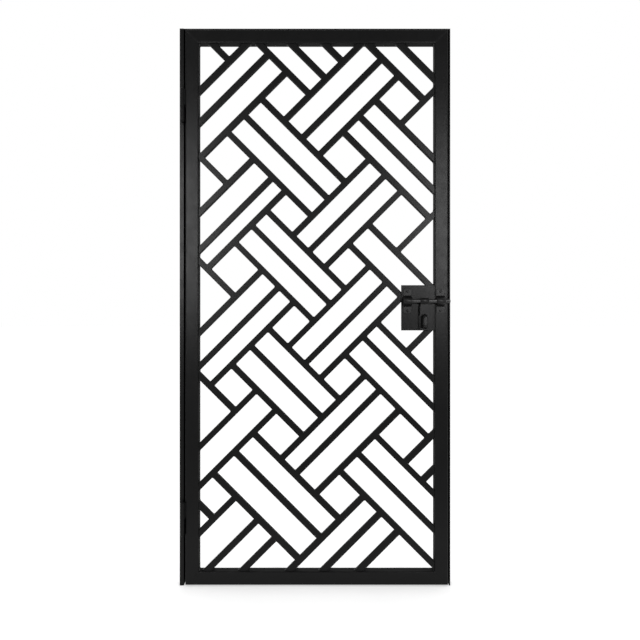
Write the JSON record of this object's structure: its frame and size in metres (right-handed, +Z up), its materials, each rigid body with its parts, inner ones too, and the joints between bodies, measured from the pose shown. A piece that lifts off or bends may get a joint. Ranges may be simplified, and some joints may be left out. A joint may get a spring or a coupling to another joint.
{
  "type": "security grille door",
  "caption": "Hinged steel security door: a box tube leaf with a diagonal basket weave grille, a padlock bolt on a plate, and a three sided steel frame.",
  "frame": {"origin": "middle of the hinge jamb's foot, at floor level", "axes": "+X from the hinge side to the lock side, -Y towards the front, +Z up"},
  "size_m": [1.02, 0.086, 2.1],
  "materials": {
    "frame_paint": "satin",
    "leaf_paint": "satin",
    "bolt_paint": "satin"
  },
  "bodies": {
    "frame": {"hinge_jamb": "frame_paint", "hinge_stop": "frame_paint", "lock_jamb": "frame_paint", "head": "frame_paint", "upper_hinge_jamb_half": "frame_paint", "lower_hinge_jamb_half": "frame_paint", "upper_hinge_pin": "frame_paint", "lower_hinge_pin": "frame_paint"},
    "leaf": {"hinge_stile": "leaf_paint", "lock_stile": "leaf_paint", "top_rail": "leaf_paint", "bottom_rail": "leaf_paint", "grille": "leaf_paint", "upper_hinge_leaf_half": "leaf_paint", "lower_hinge_leaf_half": "leaf_paint", "lock_plate": "leaf_paint", "inner_guide": "leaf_paint", "outer_guide": "leaf_paint", "staple": "leaf_paint"},
    "bolt": {"bolt": "bolt_paint"},
    "handle": {"handle": "bolt_paint"}
  },
  "joints": [
    {"name": "leaf_swing", "type": "hinge", "parent": "frame", "child": "leaf", "pos_m": [0.0063, -0.04, 1.05], "axis": [0, 0, -1], "range_deg": [0, 110]},
    {"name": "bolt_slide", "type": "slide", "parent": "leaf", "child": "bolt", "axis": [1, 0, 0], "range_m": [0, 0.009]},
    {"name": "handle_lift", "type": "hinge", "parent": "bolt", "child": "handle", "pos_m": [0.9105, -0.044, 1.072], "axis": [-1, 0, 0], "range_deg": [0, 150]}
  ]
}
